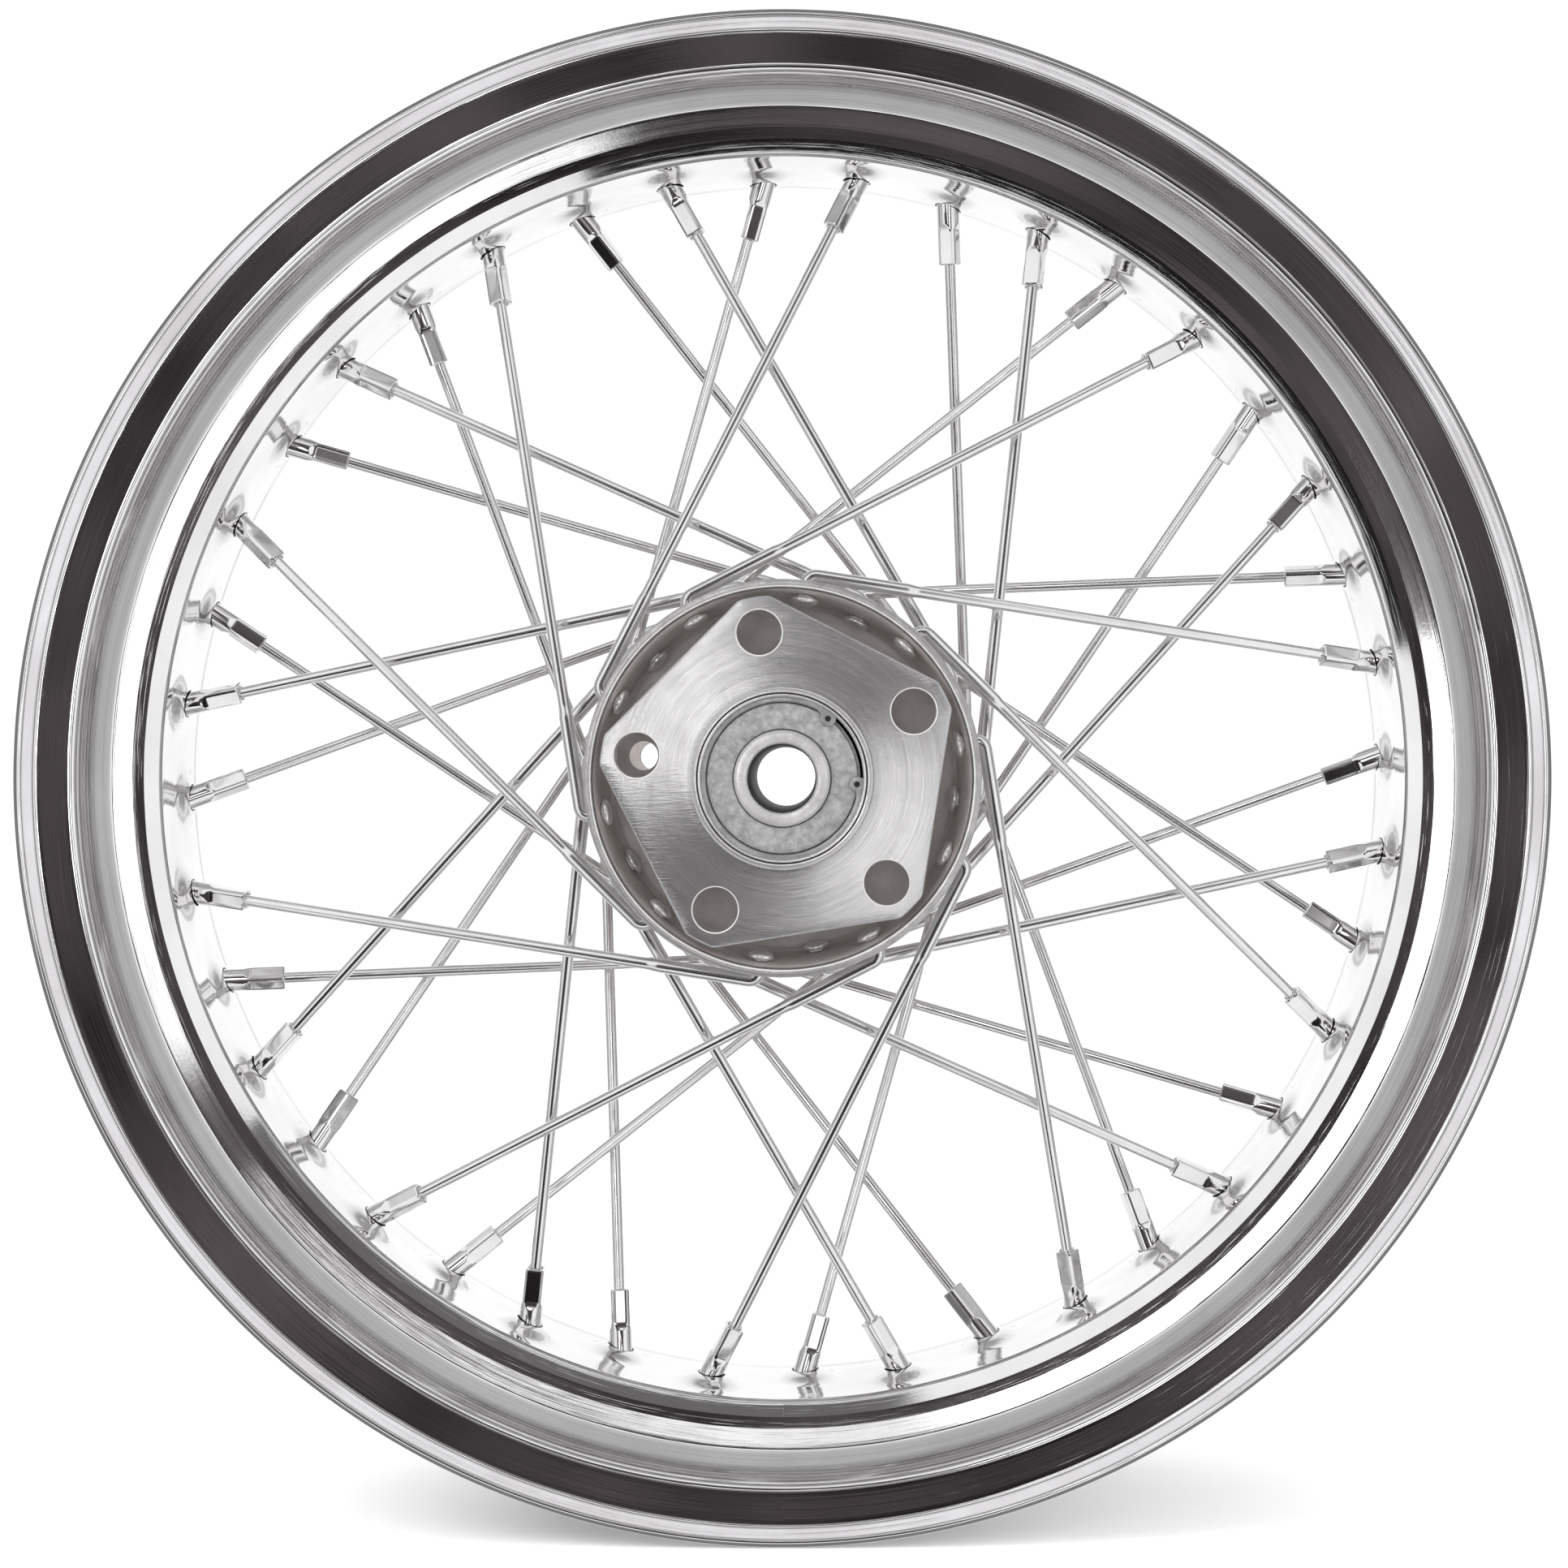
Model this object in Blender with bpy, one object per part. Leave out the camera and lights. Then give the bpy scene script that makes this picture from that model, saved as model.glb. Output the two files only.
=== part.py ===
"""Spoked motorcycle wheel, 16 x 3 in: rolled-steel rim, forty laced spokes, star hub and taper bearings.

The axle lies along Y through the origin and the wheel stands in the XZ plane. The disc side that is
seen first is the front, at -Y. Angles run clockwise from +Z as seen from the front. Metres throughout.
"""

import bmesh
import bpy
from math import cos, radians, sin, tau
from mathutils import Vector

MM = 0.001

# Rim
RIM_SEGMENTS = 80
WELL_RADIUS = 182.3 * MM
DIMPLE_TIP_RADIUS = 180.3 * MM
NIPPLE_HOLE_RADIUS = 4.35 * MM

# Lacing
SPOKE_COUNT = 40
FIRST_SPOKE_ANGLE = radians(7)
SPOKE_SWEEP = radians(72)
NIPPLE_OFFSET = 4.4 * MM
OUTER_ROW_Y = 38.2 * MM
INNER_ROW_Y = 27.5 * MM
OUTER_ELBOW_RADIUS = 58.2 * MM
INNER_ELBOW_RADIUS = 56.6 * MM
ELBOW_BEND = 2.6 * MM
SPOKE_THICK = 2.05 * MM
SPOKE_THIN = 1.7 * MM
SPOKE_HEAD = 3.4 * MM
THICK_LENGTH = 29.0 * MM
TAPER_LENGTH = 4.0 * MM
SPOKE_SIDES = 6
NIPPLE_RADIUS = 3.4 * MM
NIPPLE_LENGTH = 17.2 * MM
NIPPLE_HEAD_RADIUS = 4.9 * MM
NIPPLE_REACH = 7.2 * MM

# Hub
HUB_SEGMENTS = 40
BEARING_SEGMENTS = 20
BELL_WALL = 2.4 * MM
BELL_LIP_RADIUS = 56.0 * MM
BELL_LIP_Y = 47.0 * MM
WEB_FACE_Y = 22.6 * MM
WEB_BACK_Y = 20.0 * MM
WEB_BORE = 24.4 * MM
SPOKE_HOLE_RADIUS = 2.6 * MM
LOCATING_HOLE_RADIUS = 4.25 * MM
BARREL_RADIUS = 30.0 * MM
BARREL_BORE = 24.4 * MM
BARREL_HALF = 19.7 * MM

# Disc flange: a five-bolt star plate with a pilot boss
STAR_FACE_Y = 49.0 * MM
STAR_BACK_Y = 42.0 * MM
STAR_FLAT = 43.9 * MM
STAR_CORNER = 51.3 * MM
BOLT_CIRCLE = 41.275 * MM
BOLT_HOLE_RADIUS = 6.35 * MM
BOLT_COUNT = 5
FIRST_BOLT_ANGLE = radians(-9)
BOSS_RADIUS = 25.4 * MM
BOSS_FACE_Y = 55.0 * MM
NECK_RADIUS = 28.0 * MM
SPIGOT_RADIUS = 24.0 * MM
BEARING_BORE = 22.62 * MM
GAP = 0.3 * MM

# Axle stack
AXLE_SEGMENTS = 24
AXLE_BORE = 9.525 * MM
COLLAR_RADIUS = 13.3 * MM
COLLAR_FACE_Y = 57.0 * MM
SLEEVE_RADIUS = 12.4 * MM

MATERIALS = {
    "chrome": ((0.80, 0.79, 0.80), 0.08, 1.0),
    "machined_steel": ((0.56, 0.55, 0.55), 0.32, 1.0),
    "hub_steel": ((0.22, 0.20, 0.20), 0.45, 0.9),
    "zinc": ((0.42, 0.42, 0.43), 0.45, 0.9),
    "bearing_steel": ((0.60, 0.60, 0.62), 0.22, 1.0),
    "spring_steel": ((0.10, 0.10, 0.11), 0.40, 0.9),
}


def clear_scene():
    for obj in list(bpy.data.objects):
        bpy.data.objects.remove(obj)


def material(name):
    found = bpy.data.materials.get(name)
    if found:
        return found
    color, roughness, metallic = MATERIALS[name]
    made = bpy.data.materials.new(name)
    made.use_nodes = True
    shader = made.node_tree.nodes["Principled BSDF"]
    shader.inputs["Base Color"].default_value = (*color, 1)
    shader.inputs["Roughness"].default_value = roughness
    shader.inputs["Metallic"].default_value = metallic
    return made


def on_wheel(radius, angle, y):
    """The point at this radius and clock angle."""
    return Vector((radius * sin(angle), y, radius * cos(angle)))


def add_object(name, bm, slot, parent=None, smooth_angle=radians(35)):
    """Makes a mesh object of the bmesh, with its normals outward and its round faces smooth."""
    bmesh.ops.recalc_face_normals(bm, faces=bm.faces)
    mesh = bpy.data.meshes.new(name)
    bm.to_mesh(mesh)
    bm.free()
    obj = bpy.data.objects.new(name, mesh)
    bpy.context.scene.collection.objects.link(obj)
    if slot:
        mesh.materials.append(material(slot))
    mesh.shade_smooth()
    mesh.set_sharp_from_angle(angle=smooth_angle)
    obj.parent = parent
    return obj


def joint_empty(name):
    """An empty on the wheel's axis, which the pieces of one moving body hang from."""
    empty = bpy.data.objects.new(name, None)
    bpy.context.scene.collection.objects.link(empty)
    return empty


def revolve(profile, segments, start=0.0, radius_at=None):
    """A ring of a closed (y, radius) profile round the Y axis, as a bmesh.

    radius_at may change a point's radius with its angle, for a plate that isn't round.
    """
    bm = bmesh.new()
    rings = []
    for step in range(segments):
        angle = start + tau * step / segments
        ring = []
        for y, radius in profile:
            reach = radius_at(y, radius, angle) if radius_at else radius
            ring.append(bm.verts.new(on_wheel(reach, angle, y)))
        rings.append(ring)
    for ring, following in zip(rings, rings[1:] + rings[:1]):
        for point in range(len(profile)):
            beyond = (point + 1) % len(profile)
            bm.faces.new((ring[point], ring[beyond], following[beyond], following[point]))
    return bm


def loft(path, radii, sides):
    """A closed round bar through the path's points, as a bmesh, with a radius at each point."""
    bm = bmesh.new()
    rings = []
    directions = [after - before for before, after in zip(path, path[1:])]
    directions.append(directions[-1])
    across = directions[0].orthogonal().normalized()
    previous = directions[0].normalized()
    for index, (point, radius) in enumerate(zip(path, radii)):
        ahead = directions[index].normalized()
        tangent = (previous + ahead).normalized()
        across = (across - tangent * across.dot(tangent)).normalized()
        other = tangent.cross(across)
        ring = []
        for side in range(sides):
            angle = tau * side / sides
            ring.append(bm.verts.new(point + radius * (across * cos(angle) + other * sin(angle))))
        rings.append(ring)
        previous = ahead
    for ring, following in zip(rings, rings[1:]):
        for side in range(sides):
            beyond = (side + 1) % sides
            bm.faces.new((ring[side], ring[beyond], following[beyond], following[side]))
    bm.faces.new(rings[0])
    bm.faces.new(rings[-1])
    return bm


def cylinder_between(start, end, radius, sides):
    """A closed prism from start to end, as a bmesh."""
    return loft([start, end], [radius, radius], sides)


def merge(pieces):
    """One bmesh holding all the separate closed pieces."""
    whole = bmesh.new()
    for piece in pieces:
        mesh = bpy.data.meshes.new("merging")
        bmesh.ops.recalc_face_normals(piece, faces=piece.faces)
        piece.to_mesh(mesh)
        piece.free()
        whole.from_mesh(mesh)
        bpy.data.meshes.remove(mesh)
    return whole


def boolean(obj, pieces, name):
    """Cuts the pieces out of the object; together they are one hidden helper."""
    helper = add_object(name, merge(pieces), None)
    helper.hide_render = True
    helper.display_type = "WIRE"
    modifier = obj.modifiers.new(name, "BOOLEAN")
    modifier.object = helper
    modifier.operation = "DIFFERENCE"


# Spoke lines -----------------------------------------------------------------------------------

def spoke_layout(number):
    """(side, elbow radius, row y, hub angle, rim angle) of a spoke; numbers run clockwise from 1."""
    rim_angle = FIRST_SPOKE_ANGLE + tau * (number - 1) / SPOKE_COUNT
    kind = number % 4
    side = -1 if kind in (1, 3) else 1
    outer_row = kind in (1, 2)
    sweep = -SPOKE_SWEEP if kind in (1, 0) else SPOKE_SWEEP
    elbow_radius = OUTER_ELBOW_RADIUS if outer_row else INNER_ELBOW_RADIUS
    row_y = side * (OUTER_ROW_Y if outer_row else INNER_ROW_Y)
    return side, elbow_radius, row_y, rim_angle + sweep, rim_angle


def spoke_ends(number):
    """The elbow's corner at the hub and the point where the nipple leaves its dimple."""
    side, elbow_radius, row_y, hub_angle, rim_angle = spoke_layout(number)
    elbow = on_wheel(elbow_radius, hub_angle, row_y)
    seat = on_wheel(DIMPLE_TIP_RADIUS, rim_angle, side * NIPPLE_OFFSET)
    return elbow, seat


def wall_radius(row_y):
    """The bell wall's outer radius at this distance from the middle plane."""
    back, front = WEB_BACK_Y, BELL_LIP_Y
    share = (abs(row_y) - back) / (front - back)
    return 52.5 * MM + share * 3.3 * MM


# Rim -------------------------------------------------------------------------------------------

def rim_profile():
    """The closed (y, radius) outline of the rolled sheet: hub side from front to back, then tyre side."""
    hub_side = [
        (46.4, 215.0), (42.8, 212.8), (40.6, 209.0), (40.6, 203.2), (37.8, 200.3), (26.2, 199.9),
        (20.8, 188.3), (14.0, 184.5), (NIPPLE_OFFSET / MM, WELL_RADIUS / MM),
    ]
    tyre_side = [
        (7.0, 184.8), (18.6, 189.8), (24.4, 202.0), (35.4, 203.0), (38.1, 205.2), (38.9, 212.2),
        (44.8, 216.5),
    ]
    front = [(-y * MM, radius * MM) for y, radius in hub_side]
    back = [(y * MM, radius * MM) for y, radius in reversed(hub_side)]
    inside_back = [(y * MM, radius * MM) for y, radius in reversed(tyre_side)]
    inside_front = [(-y * MM, radius * MM) for y, radius in tyre_side]
    return front + back + inside_back + inside_front


def dimple_radius(y, radius, angle):
    """Draws the well's hub side in at each nipple, on the side that the spoke comes from."""
    step = round((angle - FIRST_SPOKE_ANGLE) / (tau / SPOKE_COUNT) * 2)
    if radius != WELL_RADIUS or step % 2:
        return radius
    side = spoke_layout(step // 2 + 1)[0]
    return DIMPLE_TIP_RADIUS if side * y > 0 else radius


def build_rim(parent):
    bm = revolve(rim_profile(), RIM_SEGMENTS, start=FIRST_SPOKE_ANGLE, radius_at=dimple_radius)
    rim = add_object("rim", bm, "chrome", parent)
    holes = []
    for number in range(1, SPOKE_COUNT + 1):
        elbow, seat = spoke_ends(number)
        outward = (seat - elbow).normalized()
        start = seat - outward * 6 * MM
        holes.append(cylinder_between(start, seat + outward * 14 * MM, NIPPLE_HOLE_RADIUS, 6))
    boolean(rim, holes, "nipple_holes")


# Spokes ----------------------------------------------------------------------------------------

def spoke_path(number):
    """The spoke's centreline points and radii, from its head inside the bell out to the nipple's head."""
    side, elbow_radius, row_y, hub_angle, rim_angle = spoke_layout(number)
    elbow, seat = spoke_ends(number)
    along = (seat - elbow).normalized()
    radial = on_wheel(1.0, hub_angle, 0.0)
    inner_wall = wall_radius(row_y) - BELL_WALL
    head_rim = on_wheel(inner_wall - 2.2 * MM, hub_angle, row_y)
    neck = on_wheel(inner_wall - 0.9 * MM, hub_angle, row_y)
    center = elbow - radial * ELBOW_BEND + along * ELBOW_BEND
    bend_start = elbow - radial * ELBOW_BEND
    bend_middle = center + ((elbow - center).normalized()) * ELBOW_BEND
    bend_end = elbow + along * ELBOW_BEND
    thick_end = elbow + along * THICK_LENGTH
    thin_start = thick_end + along * TAPER_LENGTH
    nipple_start = seat - along * NIPPLE_LENGTH
    through = seat + along * NIPPLE_REACH
    stations = [
        (head_rim, SPOKE_HEAD),
        (neck, SPOKE_THICK),
        (bend_start, SPOKE_THICK),
        (bend_middle, SPOKE_THICK),
        (bend_end, SPOKE_THICK),
        (thick_end, SPOKE_THICK),
        (thin_start, SPOKE_THIN),
        (nipple_start - along * 0.1 * MM, SPOKE_THIN),
        (nipple_start, NIPPLE_RADIUS),
        (through, NIPPLE_RADIUS),
        (through + along * 0.4 * MM, NIPPLE_HEAD_RADIUS),
        (through + along * 2.6 * MM, NIPPLE_HEAD_RADIUS * 0.7),
    ]
    return [point for point, _ in stations], [radius for _, radius in stations]


def build_spokes(parent):
    for number in range(1, SPOKE_COUNT + 1):
        path, radii = spoke_path(number)
        add_object(f"spoke_{number:02d}", loft(path, radii, SPOKE_SIDES), "chrome", parent, radians(50))


# Hub -------------------------------------------------------------------------------------------

def mirrored(profile, side):
    """The front profile, or its mirror image for the rear."""
    return [(side * y, radius) for y, radius in profile]


def bell_profile():
    """One spoke bell as (distance from the middle plane, radius)."""
    lip = BELL_LIP_Y
    outer_back = wall_radius(WEB_BACK_Y)
    return [
        (WEB_FACE_Y, WEB_BORE),
        (WEB_FACE_Y, 48.4 * MM),
        (WEB_FACE_Y + 1.3 * MM, outer_back - BELL_WALL),
        (lip - 0.8 * MM, wall_radius(lip) - BELL_WALL),
        (lip, BELL_LIP_RADIUS - 2.3 * MM),
        (lip, BELL_LIP_RADIUS - 0.6 * MM),
        (lip - 0.8 * MM, BELL_LIP_RADIUS),
        (lip - 3.2 * MM, BELL_LIP_RADIUS),
        (lip - 4.2 * MM, wall_radius(lip - 4.2 * MM)),
        (WEB_BACK_Y + 3.0 * MM, wall_radius(WEB_BACK_Y + 3.0 * MM)),
        (WEB_BACK_Y, outer_back - 3.0 * MM),
        (WEB_BACK_Y, WEB_BORE),
    ]


def build_bell(name, side, parent):
    bm = revolve(mirrored(bell_profile(), side), HUB_SEGMENTS, start=FIRST_SPOKE_ANGLE)
    bell = add_object(name, bm, "hub_steel", parent)
    holes = []
    for number in range(1, SPOKE_COUNT + 1):
        spoke_side, _, row_y, hub_angle, _ = spoke_layout(number)
        if spoke_side != side:
            continue
        wall = wall_radius(row_y)
        start = on_wheel(wall - 5 * MM, hub_angle, row_y)
        holes.append(cylinder_between(start, on_wheel(wall + 4 * MM, hub_angle, row_y), SPOKE_HOLE_RADIUS, 6))
    angle = FIRST_BOLT_ANGLE - tau / BOLT_COUNT
    middle = on_wheel(BOLT_CIRCLE, angle, side * (WEB_FACE_Y + WEB_BACK_Y) / 2)
    reach = Vector((0, 4 * MM, 0))
    holes.append(cylinder_between(middle - reach, middle + reach, LOCATING_HOLE_RADIUS, 12))
    boolean(bell, holes, name + "_holes")


def build_barrel(parent):
    edge = 1.0 * MM
    profile = [
        (-BARREL_HALF, BARREL_BORE),
        (-BARREL_HALF, BARREL_RADIUS - edge),
        (-BARREL_HALF + edge, BARREL_RADIUS),
        (BARREL_HALF - edge, BARREL_RADIUS),
        (BARREL_HALF, BARREL_RADIUS - edge),
        (BARREL_HALF, BARREL_BORE),
    ]
    bm = revolve(profile, HUB_SEGMENTS, start=FIRST_SPOKE_ANGLE)
    add_object("hub_barrel", bm, "hub_steel", parent)


def star_radius(angle):
    """The star plate's edge at this angle: five flats joined by round corners."""
    pitch = tau / BOLT_COUNT
    off_flat = (angle - FIRST_BOLT_ANGLE) % pitch - pitch / 2
    return min(STAR_CORNER, STAR_FLAT / cos(off_flat))


def build_disc_flange(name, side, parent):
    edge = 0.7 * MM
    chamfer = 0.8 * MM
    groove = 24.0 * MM
    star = STAR_CORNER
    profile = [
        (12.0 * MM, 19.4 * MM),
        (12.0 * MM, SPIGOT_RADIUS),
        (WEB_FACE_Y + GAP, SPIGOT_RADIUS),
        (WEB_FACE_Y + GAP, NECK_RADIUS),
        (STAR_BACK_Y, NECK_RADIUS),
        (STAR_BACK_Y, star),
        (STAR_FACE_Y - edge, star),
        (STAR_FACE_Y, star - edge),
        (STAR_FACE_Y, BOSS_RADIUS),
        (BOSS_FACE_Y - chamfer, BOSS_RADIUS),
        (BOSS_FACE_Y, BOSS_RADIUS - chamfer),
        (BOSS_FACE_Y, BEARING_BORE + chamfer),
        (BOSS_FACE_Y - chamfer, BEARING_BORE),
        (52.9 * MM, BEARING_BORE),
        (52.9 * MM, groove),
        (51.1 * MM, groove),
        (51.1 * MM, BEARING_BORE),
        (30.6 * MM, BEARING_BORE),
        (30.6 * MM, 19.4 * MM),
    ]

    def radius_at(y, radius, angle):
        if radius < STAR_CORNER - 2 * edge:
            return radius
        return radius - star + star_radius(angle)

    start = FIRST_BOLT_ANGLE + tau / BOLT_COUNT / 2
    bm = revolve(mirrored(profile, side), HUB_SEGMENTS, start=start, radius_at=radius_at)
    flange = add_object(name, bm, "machined_steel", parent)
    holes = []
    for bolt in range(BOLT_COUNT):
        angle = FIRST_BOLT_ANGLE + tau * bolt / BOLT_COUNT
        back = on_wheel(BOLT_CIRCLE, angle, side * (STAR_BACK_Y - 3 * MM))
        front = on_wheel(BOLT_CIRCLE, angle, side * (STAR_FACE_Y + 3 * MM))
        holes.append(cylinder_between(back, front, BOLT_HOLE_RADIUS, 16))
    boolean(flange, holes, name + "_holes")


# Bearings, seals and the axle stack ------------------------------------------------------------

def build_snap_ring(name, side, parent):
    """An open ring in its groove, with a drilled ear at each end; the gap is seen at the right."""
    inner = 21.4 * MM
    outer = 23.7 * MM
    first_ear = radians(37.6)
    second_ear = radians(94.6)
    steps = 30
    sweep = tau - (second_ear - first_ear)
    front_y = side * 52.6 * MM
    back_y = side * 51.4 * MM
    bm = bmesh.new()
    rings = []
    for step in range(steps + 1):
        angle = second_ear + sweep * step / steps
        ear = step in (0, 1, steps - 1, steps)
        low = 19.3 * MM if ear else inner
        ring = [
            bm.verts.new(on_wheel(low, angle, front_y)),
            bm.verts.new(on_wheel(outer, angle, front_y)),
            bm.verts.new(on_wheel(outer, angle, back_y)),
            bm.verts.new(on_wheel(low, angle, back_y)),
        ]
        rings.append(ring)
    for ring, following in zip(rings, rings[1:]):
        for point in range(4):
            beyond = (point + 1) % 4
            bm.faces.new((ring[point], ring[beyond], following[beyond], following[point]))
    bm.faces.new(rings[0])
    bm.faces.new(rings[-1])
    ring = add_object(name, bm, "spring_steel", parent)
    holes = []
    for angle in (first_ear - sweep / steps / 2, second_ear + sweep / steps / 2):
        near = on_wheel(20.8 * MM, angle, side * 50.5 * MM)
        far = on_wheel(20.8 * MM, angle, side * 53.5 * MM)
        holes.append(cylinder_between(near, far, 0.85 * MM, 8))
    boolean(ring, holes, name + "_holes")


def build_ring(name, profile, side, slot, parent, segments=HUB_SEGMENTS):
    bm = revolve(mirrored(profile, side), segments, start=FIRST_SPOKE_ANGLE)
    return add_object(name, bm, slot, parent)


def seal_profile():
    """A steel-cased grease seal: a flat washer face that stands out of a shallow outer channel."""
    outer = BEARING_BORE - GAP
    return [
        (47.2 * MM, COLLAR_RADIUS + 0.4 * MM),
        (50.0 * MM, COLLAR_RADIUS + 0.4 * MM),
        (50.4 * MM, COLLAR_RADIUS + 0.8 * MM),
        (50.4 * MM, 19.4 * MM),
        (50.0 * MM, 19.7 * MM),
        (49.2 * MM, 19.9 * MM),
        (49.2 * MM, outer),
        (47.2 * MM, outer),
    ]


def cup_profile():
    outer = BEARING_BORE - GAP
    return [
        (31.0 * MM, 18.3 * MM),
        (43.1 * MM, 20.6 * MM),
        (43.1 * MM, outer - 0.8 * MM),
        (42.3 * MM, outer),
        (31.0 * MM, outer),
    ]


def cone_profile():
    return [
        (30.1 * MM, AXLE_BORE),
        (30.1 * MM, 12.6 * MM),
        (31.4 * MM, 12.6 * MM),
        (31.4 * MM, 12.1 * MM),
        (43.0 * MM, 14.2 * MM),
        (43.0 * MM, 15.6 * MM),
        (46.4 * MM, 15.6 * MM),
        (46.4 * MM, AXLE_BORE),
    ]


def cage_profile():
    """The rollers and their cage as one tapered ring between cone and cup."""
    return [
        (32.0 * MM, 12.6 * MM),
        (42.6 * MM, 14.5 * MM),
        (42.6 * MM, 20.1 * MM),
        (32.0 * MM, 18.1 * MM),
    ]


def collar_profile():
    edge = 0.8 * MM
    return [
        (46.7 * MM, AXLE_BORE),
        (46.7 * MM, COLLAR_RADIUS),
        (COLLAR_FACE_Y - edge, COLLAR_RADIUS),
        (COLLAR_FACE_Y, COLLAR_RADIUS - edge),
        (COLLAR_FACE_Y, AXLE_BORE + edge / 2),
        (COLLAR_FACE_Y - edge / 2, AXLE_BORE),
    ]


def sleeve_profile():
    half = 29.8 * MM
    return [(-half, AXLE_BORE), (-half, SLEEVE_RADIUS), (half, SLEEVE_RADIUS), (half, AXLE_BORE)]


def main():
    clear_scene()
    wheel = joint_empty("wheel_pivot")
    build_rim(wheel)
    build_barrel(wheel)
    build_ring("inner_spacer_sleeve", sleeve_profile(), 1, "zinc", None, AXLE_SEGMENTS)
    for place, side in (("front", -1), ("rear", 1)):
        cage_pivot = joint_empty("cage_pivot_" + place)
        build_bell("spoke_bell_" + place, side, wheel)
        build_disc_flange("disc_flange_" + place, side, wheel)
        build_snap_ring("snap_ring_" + place, side, wheel)
        build_ring("grease_seal_" + place, seal_profile(), side, "zinc", wheel)
        build_ring("bearing_cup_" + place, cup_profile(), side, "bearing_steel", wheel, BEARING_SEGMENTS)
        build_ring("roller_cage_" + place, cage_profile(), side, "bearing_steel", cage_pivot, BEARING_SEGMENTS)
        build_ring("bearing_cone_" + place, cone_profile(), side, "bearing_steel", None, AXLE_SEGMENTS)
        build_ring("axle_collar_" + place, collar_profile(), side, "machined_steel", None, AXLE_SEGMENTS)
    build_spokes(wheel)


main()
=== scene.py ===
from math import atan2, ceil, cos, hypot, pi, radians, sin, tan, tau

import bmesh
import bpy
from mathutils import Matrix, Vector


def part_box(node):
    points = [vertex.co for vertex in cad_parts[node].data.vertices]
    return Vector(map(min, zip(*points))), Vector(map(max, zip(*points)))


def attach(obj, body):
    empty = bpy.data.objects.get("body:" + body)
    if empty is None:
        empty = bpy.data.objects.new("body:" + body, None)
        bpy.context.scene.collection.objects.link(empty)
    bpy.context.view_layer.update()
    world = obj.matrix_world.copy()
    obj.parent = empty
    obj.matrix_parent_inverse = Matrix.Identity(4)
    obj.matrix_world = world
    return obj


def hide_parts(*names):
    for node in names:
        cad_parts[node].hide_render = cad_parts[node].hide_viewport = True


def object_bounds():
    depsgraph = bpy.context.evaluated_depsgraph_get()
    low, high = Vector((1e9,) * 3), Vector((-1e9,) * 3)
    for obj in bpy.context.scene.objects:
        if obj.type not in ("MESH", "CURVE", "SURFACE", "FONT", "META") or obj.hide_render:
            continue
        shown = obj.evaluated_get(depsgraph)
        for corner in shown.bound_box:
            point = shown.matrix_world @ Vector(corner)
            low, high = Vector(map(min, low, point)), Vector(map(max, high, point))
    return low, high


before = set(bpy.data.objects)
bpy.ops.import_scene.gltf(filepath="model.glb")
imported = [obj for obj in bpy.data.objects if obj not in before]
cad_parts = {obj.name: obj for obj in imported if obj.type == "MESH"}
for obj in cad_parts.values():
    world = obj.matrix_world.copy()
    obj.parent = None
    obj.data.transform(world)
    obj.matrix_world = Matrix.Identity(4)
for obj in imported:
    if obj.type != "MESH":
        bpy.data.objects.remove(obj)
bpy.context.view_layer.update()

mm = 0.001


def onWheel(radius, angle, y):
    # angles run clockwise from the top, seen from the front
    return Vector((radius * sin(angle), y, radius * cos(angle)))


def smoothStep(value):
    value = min(max(value, 0.0), 1.0)
    return value * value * (3 - 2 * value)


def rounded(corners, stepLength=0.35):
    # corners are (y, radius, bend) in mm; each bend becomes an arc of short steps
    points = []
    count = len(corners)
    for index, (y, r, bend) in enumerate(corners):
        here = Vector((y, r))
        if bend <= 0:
            points.append(here)
            continue
        before = Vector(corners[index - 1][:2]) - here
        after = Vector(corners[(index + 1) % count][:2]) - here
        between = before.angle(after)
        if abs(between - pi) < 0.01:
            points.append(here)
            continue
        reach = min(bend / tan(between / 2), before.length * 0.49, after.length * 0.49)
        radius = reach * tan(between / 2)
        start = here + before.normalized() * reach
        end = here + after.normalized() * reach
        inward = (before.normalized() + after.normalized()).normalized()
        middle = here + inward * (radius / sin(between / 2))
        sweep = pi - between
        steps = min(max(2, ceil(radius * sweep / stepLength)), 14)
        first = start - middle
        turn = 1 if first.x * (end - middle).y - first.y * (end - middle).x > 0 else -1
        for step in range(steps + 1):
            angle = turn * sweep * step / steps
            spunY = first.x * cos(angle) - first.y * sin(angle)
            spunR = first.x * sin(angle) + first.y * cos(angle)
            points.append(middle + Vector((spunY, spunR)))
    return [(point.x * mm, point.y * mm) for point in points]


def subdivided(points, longest):
    # splits long straight runs, so that a later shift has points to move
    out = []
    count = len(points)
    for index, (y, r) in enumerate(points):
        out.append((y, r))
        nextY, nextR = points[(index + 1) % count]
        parts = ceil(hypot(nextY - y, nextR - r) / longest)
        for part in range(1, parts):
            share = part / parts
            out.append((y + (nextY - y) * share, r + (nextR - r) * share))
    return out


def joinRings(bm, ring, following):
    for point in range(len(ring)):
        beyond = (point + 1) % len(ring)
        bm.faces.new((ring[point], ring[beyond], following[beyond], following[point]))


def revolved(profile, angles, shift=None):
    # turns a closed (y, radius) outline round the axle; shift can move its points at each angle
    bm = bmesh.new()
    rings = []
    for angle in angles:
        ring = []
        for y, r in profile:
            place = shift(y, r, angle) if shift else (y, r)
            ring.append(bm.verts.new(onWheel(place[1], angle, place[0])))
        rings.append(ring)
    for ring, following in zip(rings, rings[1:] + rings[:1]):
        joinRings(bm, ring, following)
    return bm


def evenAngles(count, start=0.0):
    return [start + tau * step / count for step in range(count)]


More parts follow.
